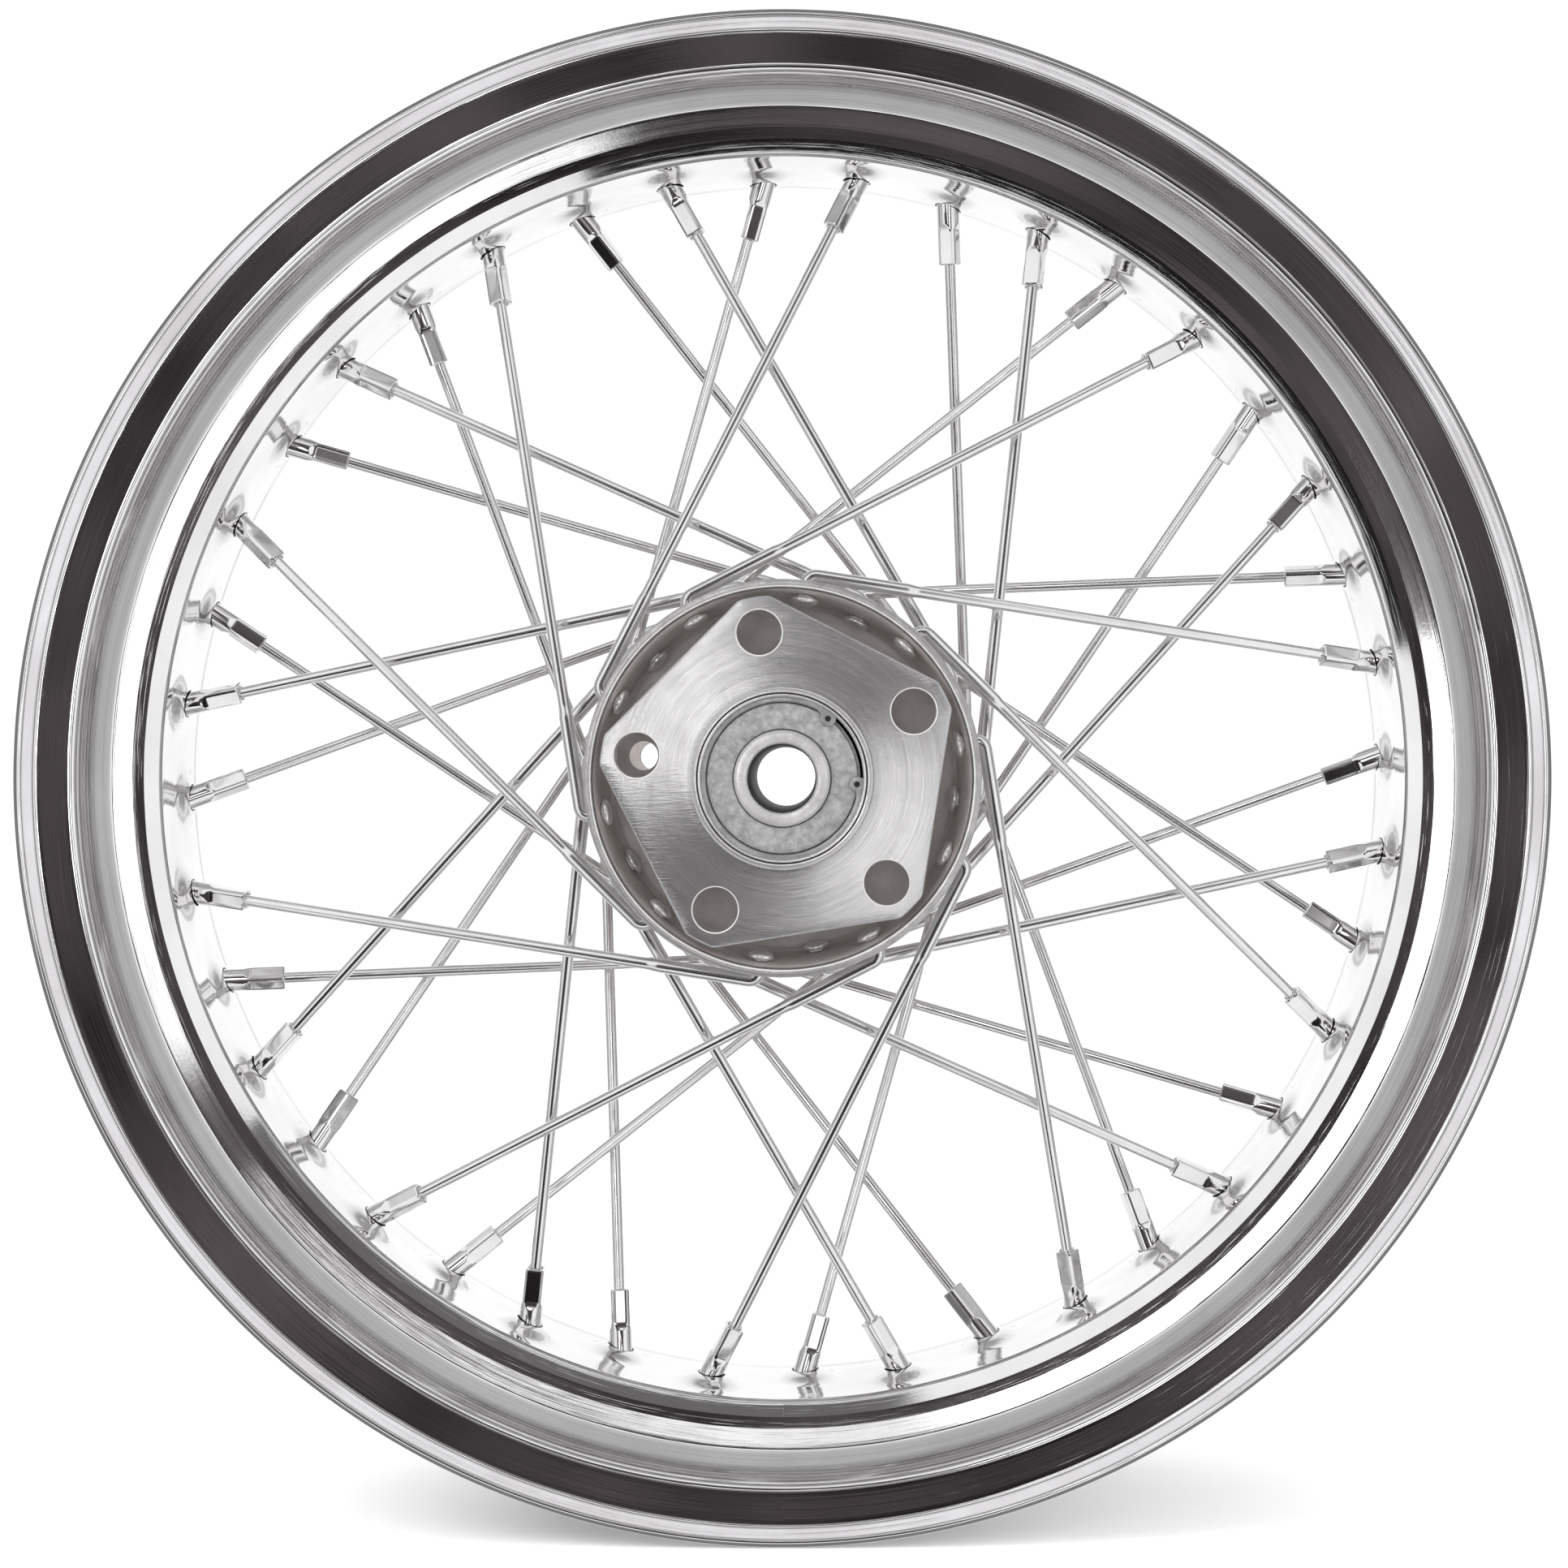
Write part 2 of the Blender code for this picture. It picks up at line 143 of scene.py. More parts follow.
def makeMesh(name, bm, materials, sharpAngle=32):
    bmesh.ops.recalc_face_normals(bm, faces=bm.faces)
    mesh = bpy.data.meshes.new(name)
    bm.to_mesh(mesh)
    bm.free()
    for material in materials:
        mesh.materials.append(material)
    mesh.shade_smooth()
    mesh.set_sharp_from_angle(angle=radians(sharpAngle))
    return mesh


def linked(name, data):
    made = bpy.data.objects.new(name, data)
    bpy.context.scene.collection.objects.link(made)
    return made


def makePiece(name, mesh, body, nodes, place=None):
    piece = linked(name, mesh)
    if place is not None:
        piece.matrix_world = place
    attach(piece, body)
    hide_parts(*nodes)
    return piece


def prism(bm, start, end, radius, sides, endRadius=None):
    # a closed round bar between two points, for drilling
    axis = end - start
    turn = axis.to_track_quat("Z", "Y").to_matrix().to_4x4()
    place = Matrix.Translation((start + end) / 2) @ turn
    last = radius if endRadius is None else endRadius
    bmesh.ops.create_cone(bm, cap_ends=True, segments=sides, radius1=radius, radius2=last,
                          depth=axis.length, matrix=place)


def paintFaces(mesh, index, wanted):
    # gives the mesh's material of that index to every face that wanted(center, normal) picks
    for face in mesh.polygons:
        if wanted(face.center, face.normal):
            face.material_index = index


def countersink(bm, start, end, radius, sides, flare):
    # a drill whose last part opens out, so that one cut makes the hole and its chamfer
    axis = end - start
    turn = axis.to_track_quat("Z", "Y").to_matrix()
    rings = []
    for along, reach in ((0, radius), (axis.length - 2 * flare, radius), (axis.length, radius + 2 * flare)):
        rings.append([bm.verts.new(start + turn @ Vector((reach * cos(angle), reach * sin(angle), along)))
                      for angle in evenAngles(sides)])
    for ring, following in zip(rings, rings[1:]):
        joinRings(bm, ring, following)
    bm.faces.new(rings[0][::-1])
    bm.faces.new(rings[-1])


def drilled(mesh, cutter, sharpAngle=32):
    # cuts the closed shapes in the cutter out of the mesh and keeps its materials
    body = linked("drilling", mesh)
    tool = linked("drill", makeMesh("drill", cutter, []))
    cut = body.modifiers.new("cut", "BOOLEAN")
    cut.object = tool
    cut.operation = "DIFFERENCE"
    cut.solver = "EXACT"
    graph = bpy.context.evaluated_depsgraph_get()
    made = bpy.data.meshes.new_from_object(body.evaluated_get(graph))
    made.name = mesh.name
    bpy.data.objects.remove(body)
    bpy.data.objects.remove(tool)
    made.shade_smooth()
    made.set_sharp_from_angle(angle=radians(sharpAngle))
    return made


def shaderTree(name):
    material = bpy.data.materials.new(name)
    material.use_nodes = True
    tree = material.node_tree
    return material, tree, tree.nodes["Principled BSDF"]


def node(tree, kind, **settings):
    made = tree.nodes.new(kind)
    for key, value in settings.items():
        if key in made.inputs.keys():
            made.inputs[key].default_value = value
        else:
            setattr(made, key, value)
    return made


def mathNode(tree, operation, first, second=None):
    made = node(tree, "ShaderNodeMath", operation=operation)
    for index, value in enumerate((first, second)):
        if value is None:
            continue
        if isinstance(value, (int, float)):
            made.inputs[index].default_value = value
        else:
            tree.links.new(value, made.inputs[index])
    return made.outputs[0]


def scaled(tree, value, factor, added):
    return mathNode(tree, "ADD", mathNode(tree, "MULTIPLY", value, factor), added)


def ramp(tree, factor, stops):
    made = node(tree, "ShaderNodeValToRGB")
    elements = made.color_ramp.elements
    while len(elements) < len(stops):
        elements.new(0.5)
    for element, (position, color) in zip(elements, stops):
        element.position = position
        element.color = (*color, 1)
    tree.links.new(factor, made.inputs["Fac"])
    return made.outputs["Color"]


def noiseOf(tree, vector, scale, detail=3.0, roughness=0.55, stretch=None):
    made = node(tree, "ShaderNodeTexNoise", Scale=scale, Detail=detail, Roughness=roughness)
    if stretch:
        mapping = node(tree, "ShaderNodeMapping")
        mapping.inputs["Scale"].default_value = stretch
        tree.links.new(vector, mapping.inputs["Vector"])
        vector = mapping.outputs["Vector"]
    tree.links.new(vector, made.inputs["Vector"])
    return made.outputs["Fac"]


def wheelPolar(tree):
    # the shaded point, then its distance from the axle, its angle round it and its y, in metres and radians
    place = node(tree, "ShaderNodeTexCoord").outputs["Object"]
    parts = node(tree, "ShaderNodeSeparateXYZ")
    tree.links.new(place, parts.inputs[0])
    x, y, z = parts.outputs
    squares = mathNode(tree, "ADD", mathNode(tree, "MULTIPLY", x, x), mathNode(tree, "MULTIPLY", z, z))
    radius = mathNode(tree, "SQRT", squares)
    angle = mathNode(tree, "ARCTAN2", x, z)
    return place, radius, angle, y


def combined(tree, x, y, z):
    made = node(tree, "ShaderNodeCombineXYZ")
    for index, value in enumerate((x, y, z)):
        if isinstance(value, (int, float)):
            made.inputs[index].default_value = value
        else:
            tree.links.new(value, made.inputs[index])
    return made.outputs[0]


def bump(tree, shader, height, strength, distance):
    made = node(tree, "ShaderNodeBump", Strength=strength, Distance=distance)
    tree.links.new(height, made.inputs["Height"])
    tree.links.new(made.outputs["Normal"], shader.inputs["Normal"])


chromeLook = {
    "color": (0.93, 0.925, 0.93),
    "cloudy": (0.80, 0.785, 0.79),
    "roughness": (0.025, 0.17),  # lowest, and how much the rubbed patches add
    "ringsPerMetre": 620.0,
    "ringStrength": 0.18,
    "speckShare": 0.06,
}


def rimChrome():
    # mirror plate with faint rubbed lines that run round the wheel, and a few cloudy patches
    look = chromeLook
    material, tree, shader = shaderTree("rimChrome")
    place, radius, angle, y = wheelPolar(tree)
    lineSpace = combined(tree, mathNode(tree, "MULTIPLY", radius, look["ringsPerMetre"]),
                         mathNode(tree, "MULTIPLY", angle, 1.3),
                         mathNode(tree, "MULTIPLY", y, look["ringsPerMetre"]))
    lines = noiseOf(tree, lineSpace, 1.0, 4.0, 0.7)
    clouds = noiseOf(tree, place, 26.0, 5.0, 0.6)
    specks = noiseOf(tree, place, 900.0, 2.0, 0.5)
    tint = ramp(tree, clouds, [(0.35, look["color"]), (0.75, look["cloudy"])])
    tree.links.new(tint, shader.inputs["Base Color"])
    low, high = look["roughness"]
    mixed = mathNode(tree, "MULTIPLY", lines, clouds)
    tree.links.new(scaled(tree, mixed, high, low), shader.inputs["Roughness"])
    height = scaled(tree, specks, look["speckShare"], lines)
    bump(tree, shader, height, look["ringStrength"], 0.0002)
    shader.inputs["Metallic"].default_value = 1.0
    return material


def spokeChrome(name, roughness):
    material, tree, shader = shaderTree(name)
    place = node(tree, "ShaderNodeTexCoord").outputs["Object"]
    clouds = noiseOf(tree, place, 60.0, 4.0, 0.6)
    tint = ramp(tree, clouds, [(0.3, (0.92, 0.915, 0.92)), (0.8, (0.78, 0.765, 0.76))])
    tree.links.new(tint, shader.inputs["Base Color"])
    tree.links.new(scaled(tree, clouds, 0.09, roughness), shader.inputs["Roughness"])
    shader.inputs["Metallic"].default_value = 1.0
    return material


def turnedSteel(name, light, dark, roughness, ringsPerMetre, anisotropy):
    # lathe-turned face: fine rings, radial highlights, a few crossing scratches and grey stains
    material, tree, shader = shaderTree(name)
    place, radius, angle, y = wheelPolar(tree)
    ringSpace = combined(tree, mathNode(tree, "MULTIPLY", radius, ringsPerMetre),
                         mathNode(tree, "MULTIPLY", angle, 0.6), mathNode(tree, "MULTIPLY", y, 600.0))
    grooves = noiseOf(tree, ringSpace, 1.0, 3.0, 0.7)
    stains = noiseOf(tree, place, 70.0, 6.0, 0.65)
    scratches = noiseOf(tree, place, 260.0, 2.0, 0.4, stretch=(1.0, 1.0, 9.0))
    mix = scaled(tree, stains, 0.4, mathNode(tree, "MULTIPLY", grooves, 0.6))
    tint = ramp(tree, mix, [(0.32, light), (0.72, dark)])
    tree.links.new(tint, shader.inputs["Base Color"])
    tree.links.new(scaled(tree, stains, 0.16, roughness - 0.06), shader.inputs["Roughness"])
    bump(tree, shader, scaled(tree, scratches, 0.5, grooves), 0.6, 0.00008)
    shader.inputs["Metallic"].default_value = 1.0
    shader.inputs["Anisotropic"].default_value = anisotropy
    shader.inputs["Anisotropic Rotation"].default_value = 0.25
    tangent = node(tree, "ShaderNodeTangent", direction_type="RADIAL", axis="Y")
    tree.links.new(tangent.outputs[0], shader.inputs["Tangent"])
    return material


def mottledMetal(name, light, dark, roughness, scale, strength, metallic):
    # plain metal with soft blotches and a fine grain
    material, tree, shader = shaderTree(name)
    place = node(tree, "ShaderNodeTexCoord").outputs["Object"]
    blotches = noiseOf(tree, place, scale, 6.0, 0.65)
    grain = noiseOf(tree, place, scale * 12, 3.0, 0.6)
    mix = scaled(tree, blotches, 0.75, mathNode(tree, "MULTIPLY", grain, 0.25))
    tint = ramp(tree, mix, [(0.36, light), (0.66, dark)])
    tree.links.new(tint, shader.inputs["Base Color"])
    tree.links.new(scaled(tree, blotches, 0.25, roughness - 0.1), shader.inputs["Roughness"])
    bump(tree, shader, grain, strength, 0.0001)
    shader.inputs["Metallic"].default_value = metallic
    return material


# light color, dark color, roughness, blotches per metre, grain height, metallic
mottledLooks = {
    "bossSteel": ((0.90, 0.89, 0.89), (0.66, 0.65, 0.65), 0.22, 160.0, 0.1, 0.8),
    # painted highlight: light, mostly matt steel for the bevel inside the bell's lip and the bolt holes'
    # chamfers, so they show as bright lines
    "edgeHighlightSteel": ((0.78, 0.77, 0.76), (0.60, 0.59, 0.58), 0.4, 160.0, 0.1, 0.25),
    # painted light: the spoke heads are the spokes' own chrome, made near white and partly matt so they
    # read bright in the bell's shade
    "headBrightenedChrome": ((1.0, 0.99, 0.98), (0.92, 0.91, 0.90), 0.16, 200.0, 0.1, 0.8),
    "turnedCollar": ((0.66, 0.65, 0.65), (0.44, 0.43, 0.43), 0.26, 200.0, 0.15, 0.6),
    "turnedLip": ((0.62, 0.61, 0.605), (0.38, 0.37, 0.37), 0.28, 160.0, 0.15, 0.85),
    # near-black grease in the bores and the snap ring's ear holes, also used as painted shade in the flange
    # boss's groove and foot
    "greaseAndCreaseShade": ((0.06, 0.055, 0.05), (0.025, 0.022, 0.02), 0.5, 200.0, 0.2, 0.3),
    # painted light and shade: the bell's wall and floor are one steel, the wall painted lighter against the
    # shade in its deep ring gap, the floor darker
    "bellLitSteel": ((0.74, 0.69, 0.665), (0.57, 0.52, 0.495), 0.42, 120.0, 0.2, 0.3),
    "webShadedSteel": ((0.64, 0.60, 0.575), (0.48, 0.445, 0.425), 0.45, 90.0, 0.2, 0.3),
    "barrelSteel": ((0.46, 0.45, 0.45), (0.28, 0.27, 0.27), 0.36, 120.0, 0.2, 1.0),
    "sealZinc": ((0.72, 0.72, 0.72), (0.34, 0.34, 0.34), 0.3, 420.0, 0.6, 0.65),
    "sleeveZinc": ((0.20, 0.195, 0.19), (0.10, 0.10, 0.10), 0.42, 120.0, 0.2, 1.0),
    "bearingSteel": ((0.66, 0.66, 0.68), (0.48, 0.48, 0.50), 0.2, 160.0, 0.1, 1.0),
    "springSteel": ((0.62, 0.62, 0.63), (0.36, 0.36, 0.37), 0.28, 300.0, 0.2, 1.0),
}
finishes = {name: mottledMetal(name, *look) for name, look in mottledLooks.items()}
finishes["rimChrome"] = rimChrome()
finishes["spokeChrome"] = spokeChrome("spokeChrome", 0.12)
finishes["nippleChrome"] = spokeChrome("nippleChrome", 0.06)
finishes["turnedFlange"] = turnedSteel("turnedFlange", (0.88, 0.87, 0.87), (0.62, 0.61, 0.61),
                                       0.22, 2400.0, 0.97)
print("finishes made:", len(finishes))


# the lacing that rim, bells, spokes and nipples share: lengths in mm from the axle and the middle plane
lacing = {
    "count": 40,
    "firstAngle": radians(7),
    "sweep": radians(72),
    "rimRadius": 180.3,
    "rimOffset": 4.4,
    "outerRow": {"y": 38.2, "elbow": 58.2},
    "innerRow": {"y": 27.5, "elbow": 56.6},
}
# the bell's slanted wall: its outer radius at one depth, and how much it flares over a length
bellWall = {"radius": 52.5, "atY": 20.0, "flare": 3.3, "over": 27.0, "thickness": 2.4}


def spokeLayout(number):
    # four kinds repeat round the rim: front outer, rear outer, front inner, rear inner
    kind = number % 4
    side = -1 if kind in (1, 3) else 1
    row = lacing["outerRow"] if kind in (1, 2) else lacing["innerRow"]
    rimAngle = lacing["firstAngle"] + tau * (number - 1) / lacing["count"]
    hubAngle = rimAngle + (-lacing["sweep"] if kind in (1, 0) else lacing["sweep"])
    return side, row, hubAngle, rimAngle


def wallRadius(y):
    return bellWall["radius"] + (y - bellWall["atY"]) / bellWall["over"] * bellWall["flare"]


def spokeEnds(number):
    # its elbow at the hub and its seat in the rim
    side, row, hubAngle, rimAngle = spokeLayout(number)
    elbow = onWheel(row["elbow"] * mm, hubAngle, side * row["y"] * mm)
    seat = onWheel(lacing["rimRadius"] * mm, rimAngle, side * lacing["rimOffset"] * mm)
    return elbow, seat


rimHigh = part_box("rim")[1]
rim = {
    "lipRadius": rimHigh[2] / mm,  # 216.4
    "lipY": rimHigh[1] / mm,  # 46.4
    "dimpleDepth": 2.4,
    "dimpleFlat": 4.1,
    "dimpleReach": 10.6,
    "dimpleRadius": 182.0,  # where the dimples are, from the axle
    "dimpledY": 15.0,  # the part of the underside that dimples may move
    "dimpledRadius": 190.0,
    "holeRadius": 3.95,
    "drillFrom": 6.0,
    "drillTo": 14.0,
    # degrees after each nipple; close together at both ends, where the dimples are
    "anglesPerSpoke": (0.0, 0.45, 0.9, 1.35, 1.8, 2.3, 2.9, 3.7, 4.5, 5.3, 6.1, 6.7, 7.2, 7.65, 8.1, 8.55),
}


def rimProfile():
    lip = rim["lipRadius"]
    edge = rim["lipY"]
    # (distance from the middle plane, distance from the axle, bend)
    hubSide = [
        (edge, 213.9, 0.9), (40.6, 212.2, 1.1), (40.6, 200.2, 3.3), (35.6, 200.4, 1.0),
        (33.4, 199.9, 0.8), (31.0, 200.3, 0.8), (28.5, 200.1, 0.8), (23.9, 195.6, 1.6),
        (22.0, 190.0, 1.5), (20.8, 187.0, 1.2), (18.6, 183.3, 0.6), (17.7, 182.5, 0.5),
        (16.2, 182.9, 0.8), (7.0, 182.4, 8.0),
    ]
    tyreSide = [
        (7.0, 184.7, 8.0), (13.6, 186.5, 9.0), (18.9, 189.4, 3.5), (23.6, 202.0, 5.0),
        (38.1, 203.2, 3.0), (38.2, 212.4, 5.0), (42.8, 216.0, 2.0), (45.1, lip, 0.5),
        (edge, 214.8, 0.7),
    ]
    outline = [(-y, r, bend) for y, r, bend in hubSide]
    outline += [(y, r, bend) for y, r, bend in reversed(hubSide)]
    outline += [(y, r, bend) for y, r, bend in reversed(tyreSide)]
    outline += [(-y, r, bend) for y, r, bend in tyreSide]
    return outline


def rimShift(y, radius, angle):
    # presses a dimple inwards round each nipple, on the side that its spoke comes from
    if abs(y) > rim["dimpledY"] * mm or radius > rim["dimpledRadius"] * mm:
        return y, radius
    pitch = tau / lacing["count"]
    steps = (angle - lacing["firstAngle"]) / pitch
    depth = 0.0
    for number in (int(steps // 1) + 1, int(steps // 1) + 2):
        side = spokeLayout((number - 1) % lacing["count"] + 1)[0]
        across = (steps - (number - 1)) * pitch * rim["dimpleRadius"]
        along = y / mm - side * lacing["rimOffset"]
        away = hypot(across, along)
        reach = (away - rim["dimpleFlat"]) / (rim["dimpleReach"] - rim["dimpleFlat"])
        depth = max(depth, rim["dimpleDepth"] * (1 - smoothStep(reach)))
    return y, radius - depth * mm


def buildRim():
    profile = subdivided(rounded(rimProfile()), 1.6 * mm)
    angles = []
    for spoke in range(lacing["count"]):
        angles += [lacing["firstAngle"] + radians(9 * spoke + part) for part in rim["anglesPerSpoke"]]
    bm = revolved(profile, angles, rimShift)
    mesh = makeMesh("rimShell", bm, [finishes["rimChrome"]])
    drill = bmesh.new()
    for number in range(1, lacing["count"] + 1):
        elbow, seat = spokeEnds(number)
        along = (seat - elbow).normalized()
        start = seat - along * rim["drillFrom"] * mm
        prism(drill, start, seat + along * rim["drillTo"] * mm, rim["holeRadius"] * mm, 28)
    mesh = drilled(mesh, drill)
    makePiece("rimShell", mesh, "wheel", ["rim"])
    print("rim made:", len(mesh.polygons), "faces")


buildRim()


spoke = {
    "thick": 2.05,
    "thin": 1.7,
    "headRadius": 3.9,
    "bend": 3.0,
    "thickLength": 29.0,
    "taperLength": 4.0,
    "inNipple": 6.0,
    "sides": 20,
    # domed head, then its cone: (depth inside the bell's wall, share of the head's radius)
    "head": ((2.95, 0.14), (2.86, 0.42), (2.6, 0.68), (2.2, 0.86), (1.7, 0.97), (1.3, 1.0), (0.95, 0.97),
             (0.6, 0.80), (0.25, 0.62), (-0.1, 0.547)),
}
nipple = {
    "length": 17.2,  # from the hub end to the dimple
    "bodyRadius": 3.45,
    "flatHalf": 2.82,
    "flatLength": 9.6,
    "runOut": 2.6,
    "mouthRadius": 2.15,
    "headRadius": 4.9,
    "headAt": 24.6,
    # the head inside the tyre channel: (rise, share of the head's radius)
    "head": ((0.35, 0.97), (0.7, 1.0), (1.2, 0.97), (1.8, 0.85), (2.3, 0.62), (2.55, 0.35), (2.6, 0.08)),
    "sides": 48,
}


def sweptBar(path, radii, sides):
    # a round bar along a path, without twist
    bm = bmesh.new()
    rings = []
    steps = [after - before for before, after in zip(path, path[1:])]
    steps.append(steps[-1])
    previous = steps[0].normalized()
    across = steps[0].orthogonal().normalized()
    for index, (point, radius) in enumerate(zip(path, radii)):
        ahead = steps[index].normalized() if steps[index].length > 1e-9 else previous
        tangent = (previous + ahead).normalized()
        across = (across - tangent * across.dot(tangent)).normalized()
        other = tangent.cross(across)
        rings.append([bm.verts.new(point + radius * (across * cos(angle) + other * sin(angle)))
                      for angle in evenAngles(sides)])
        previous = ahead
    for ring, following in zip(rings, rings[1:]):
        joinRings(bm, ring, following)
    bm.faces.new(rings[0])
    bm.faces.new(rings[-1])
    return bm


def spokeStations(number):
    # (point, radius in mm) along the spoke, from its head to inside the nipple
    side, row, hubAngle, _ = spokeLayout(number)
    elbow, seat = spokeEnds(number)
    along = (seat - elbow).normalized()
    radial = onWheel(1.0, hubAngle, 0.0)
    rowY = side * row["y"] * mm
    insideWall = wallRadius(row["y"]) - bellWall["thickness"]
    stations = []
    for depth, share in spoke["head"]:
        stations.append((onWheel((insideWall - depth) * mm, hubAngle, rowY), spoke["headRadius"] * share))
    bend = spoke["bend"] * mm
    middle = elbow - radial * bend + along * bend
    for step in range(9):
        angle = pi / 2 * step / 8
        stations.append((middle + (-along * cos(angle) + radial * sin(angle)) * bend, spoke["thick"]))
    for step in range(9):
        share = step / 8
        reach = spoke["thickLength"] + spoke["taperLength"] * share
        radius = spoke["thick"] + (spoke["thin"] - spoke["thick"]) * smoothStep(share)
        stations.append((elbow + along * reach * mm, radius))
    stations.append((seat - along * (nipple["length"] - spoke["inNipple"]) * mm, spoke["thin"]))
    return stations


def nippleRadius(distance, angle):
    # the round body, cut by four wrench flats whose ends run out like a milled scoop
    body = nipple["bodyRadius"]
    past = max(distance - nipple["flatLength"], 0.0) / nipple["runOut"]
    flat = nipple["flatHalf"] + (body - nipple["flatHalf"]) * past ** 2
    quarter = (angle + pi / 4) % (pi / 2) - pi / 4
    return min(body, flat / cos(quarter))


def nippleMesh():
    # stands on its hub end, along z
    bm = bmesh.new()
    rings = []

    def addRing(distance, radiusOf):
        ring = []
        for angle in evenAngles(nipple["sides"]):
            radius = radiusOf(angle) if callable(radiusOf) else radiusOf
            ring.append(bm.verts.new((radius * mm * cos(angle), radius * mm * sin(angle), distance * mm)))
        rings.append(ring)

    mouth = nipple["mouthRadius"]
    for depth, radius in ((3.0, 0.2), (3.0, 1.85), (0.55, 1.9), (0.2, mouth), (0.0, mouth + 0.15)):
        addRing(depth, radius)
    for depth, inset in ((0.0, 0.42), (0.12, 0.18), (0.42, 0.0)):
        addRing(depth, lambda angle, inset=inset: nippleRadius(0, angle) - inset)
    distance = 1.6
    while distance < nipple["flatLength"] - 0.2:
        addRing(distance, lambda angle, at=distance: nippleRadius(at, angle))
        distance += 1.6
    for step in range(13):
        at = nipple["flatLength"] + nipple["runOut"] * step / 12
        addRing(at, lambda angle, at=at: nippleRadius(at, angle))
    addRing(nipple["length"], nipple["bodyRadius"])
    addRing(nipple["headAt"], nipple["bodyRadius"])
    for rise, share in nipple["head"]:
        addRing(nipple["headAt"] + rise, nipple["headRadius"] * share)
    for ring, following in zip(rings, rings[1:]):
        joinRings(bm, ring, following)
    bm.faces.new(rings[0])
    bm.faces.new(rings[-1])
    return makeMesh("nipple", bm, [finishes["nippleChrome"]], 24)


def buildSpokes():
    nippleShape = nippleMesh()
    spokeShapes = {}
    for kind in (1, 2, 3, 4):
        stations = spokeStations(kind)
        path = [point for point, _ in stations]
        bar = sweptBar(path, [radius * mm for _, radius in stations], spoke["sides"])
        shape = makeMesh("spokeKind" + str(kind), bar, [finishes["spokeChrome"], finishes["headBrightenedChrome"]], 40)
        row = spokeLayout(kind)[1]
        wall = (wallRadius(row["y"]) - bellWall["thickness"]) * mm
        # painted light: the heads, inside the bell's wall, take the brightened head finish
        paintFaces(shape, 1, lambda center, normal: hypot(center.x, center.z) < wall)
        spokeShapes[kind] = shape
    for number in range(1, lacing["count"] + 1):
        kind = (number - 1) % 4 + 1
        cadNode = f"spoke_{number:02d}"
        turned = Matrix.Rotation(tau * (number - kind) / lacing["count"], 4, "Y")
        makePiece(f"spokeWire_{number:02d}", spokeShapes[kind], "wheel", [cadNode], turned)
        elbow, seat = spokeEnds(number)
        along = (seat - elbow).normalized()
        twist = Matrix.Rotation(radians(number * 37 % 90), 4, "Z")  # each is screwed up to its own angle
        hubEnd = Matrix.Translation(seat - along * nipple["length"] * mm)
        place = hubEnd @ along.to_track_quat("Z", "Y").to_matrix().to_4x4() @ twist
        makePiece(f"nipple_{number:02d}", nippleShape, "wheel", [cadNode], place)
    print("spokes and nipples made:", lacing["count"])


buildSpokes()


hub = {
    "segments": 360,
    "lipRadius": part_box("spoke_bell_front")[1][2] / mm,
    "lipY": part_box("spoke_bell_rear")[1][1] / mm,
    "webFace": 22.6,
    "webBack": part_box("spoke_bell_rear")[0][1] / mm,
    "webBore": 24.4,
    "spokeHole": 2.45,
    "locatingHole": 4.25,
    "drillIn": 6.0,
    "drillOut": 4.0,
    "drillPast": 3.0,
}
star = {
    "faceY": 49.0,
    "backY": 42.0,
    "flat": 43.9,
    "corner": 51.3,
    "boltCircle": 41.275,
    "boltRadius": 6.35,
    "chamfer": 0.34,
    "bolts": 5,
    "firstAngle": radians(-9),
    "drawnFrom": 29.0,  # the plate is round inside this radius
    "edgeWidth": 1.5,
    "bossRadius": 25.4,
    "bossY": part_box("disc_flange_rear")[1][1] / mm,
    "bore": 22.62,
}


def sideways(outline, side):
    return [(side * y, r, bend) for y, r, bend in outline]


def bellOutline():
    lip = hub["lipY"]
    edge = hub["lipRadius"]
    back = hub["webBack"]
    wall = bellWall["thickness"]
    return [
        (hub["webFace"], hub["webBore"], 0.0),
        (hub["webFace"], wallRadius(hub["webFace"]) - wall, 2.2),
        (lip - 1.6, wallRadius(lip - 1.6) - wall, 0.6),
        (lip, edge - 2.1, 0.4),
        (lip, edge, 0.7),
        (lip - 3.4, edge, 0.6),
        (lip - 4.4, wallRadius(lip - 4.4), 0.8),
        (back, wallRadius(back), 3.4),
        (back, hub["webBore"], 0.0),
    ]


